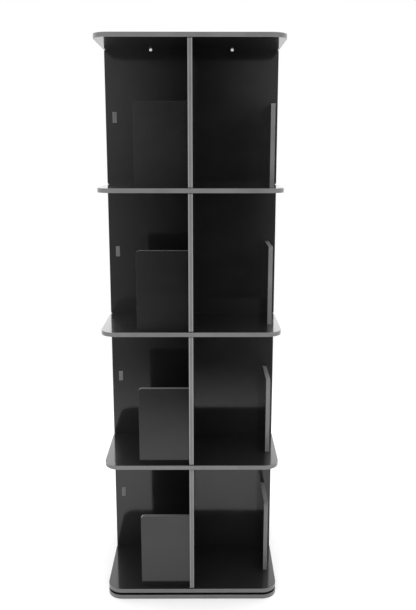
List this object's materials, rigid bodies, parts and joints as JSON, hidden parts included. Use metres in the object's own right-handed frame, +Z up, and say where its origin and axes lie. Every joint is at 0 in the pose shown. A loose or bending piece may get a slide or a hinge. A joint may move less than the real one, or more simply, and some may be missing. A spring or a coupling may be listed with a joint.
{
  "type": "revolving display rack",
  "caption": "Square multi-tier floor display tower with rounded shelves, crossed panels, low stop panels in a pinwheel and a turntable base.",
  "frame": {"origin": "on the floor, at the point where the vertical turning axis meets it, under the middle of the square base", "axes": "+Z up along the turning axis, -Y out of the front, +X to the right seen from the front"},
  "size_m": [0.46, 0.46, 1.466],
  "materials": {
    "black_board": "high-gloss black laminate on fibreboard",
    "grey_edge": "satin grey edge band",
    "bearing_plate": "zinc-plated pressed sheet",
    "fastener_steel": "zinc-plated",
    "ball_steel": "polished",
    "cage_plastic": "moulded, slightly greased",
    "dowel_wood": "plain beech",
    "pad_rubber": "matt"
  },
  "bodies": {
    "base": {"base_board": "black_board", "base_edge_band": "grey_edge", "base_pads": "pad_rubber", "turntable_lower_plate": "bearing_plate", "turntable_lower_screws": "fastener_steel", "turntable_pivot": "fastener_steel"},
    "tower": {"turntable_upper_plate": "bearing_plate", "turntable_upper_screws": "fastener_steel", "stop_dowels": "dowel_wood", "bottom_shelf": "black_board", "shelf_2": "black_board", "shelf_3": "black_board", "shelf_4": "black_board", "top_board": "black_board", "bottom_shelf_edge_band": "grey_edge", "shelf_2_edge_band": "grey_edge", "shelf_3_edge_band": "grey_edge", "shelf_4_edge_band": "grey_edge", "top_board_edge_band": "grey_edge", "bottom_shelf_dowels": "dowel_wood", "shelf_2_dowels": "dowel_wood", "shelf_3_dowels": "dowel_wood", "shelf_4_dowels": "dowel_wood", "top_board_dowels": "dowel_wood", "tier_1_panel_left_right": "black_board", "tier_2_panel_left_right": "black_board", "tier_3_panel_left_right": "black_board", "tier_4_panel_left_right": "black_board", "tier_1_panel_front_back": "black_board", "tier_2_panel_front_back": "black_board", "tier_3_panel_front_back": "black_board", "tier_4_panel_front_back": "black_board", "tier_1_panel_end_bands": "grey_edge", "tier_2_panel_end_bands": "grey_edge", "tier_3_panel_end_bands": "grey_edge", "tier_4_panel_end_bands": "grey_edge", "tier_1_stop_front_left": "black_board", "tier_1_stop_front_right": "black_board", "tier_1_stop_back_right": "black_board", "tier_1_stop_back_left": "black_board", "tier_2_stop_front_left": "black_board", "tier_2_stop_front_right": "black_board", "tier_2_stop_back_right": "black_board", "tier_2_stop_back_left": "black_board", "tier_3_stop_front_left": "black_board", "tier_3_stop_front_right": "black_board", "tier_3_stop_back_right": "black_board", "tier_3_stop_back_left": "black_board", "tier_4_stop_front_left": "black_board", "tier_4_stop_front_right": "black_board", "tier_4_stop_back_right": "black_board", "tier_4_stop_back_left": "black_board", "tier_1_stop_bands": "grey_edge", "tier_2_stop_bands": "grey_edge", "tier_3_stop_bands": "grey_edge", "tier_4_stop_bands": "grey_edge"},
    "ball_ring": {"turntable_ball_cage": "cage_plastic", "turntable_balls": "ball_steel"}
  },
  "joints": [
    {"name": "turntable", "type": "hinge", "parent": "base", "child": "tower", "pos_m": [0, 0, 0.0155], "axis": [0, 0, 1], "continuous": true},
    {"name": "ball_ring_roll", "type": "hinge", "parent": "base", "child": "ball_ring", "pos_m": [0, 0, 0.0155], "axis": [0, 0, 1], "continuous": true}
  ],
  "couplings": [
    {"joint": "ball_ring_roll", "follows": "turntable", "ratio": 0.5}
  ]
}
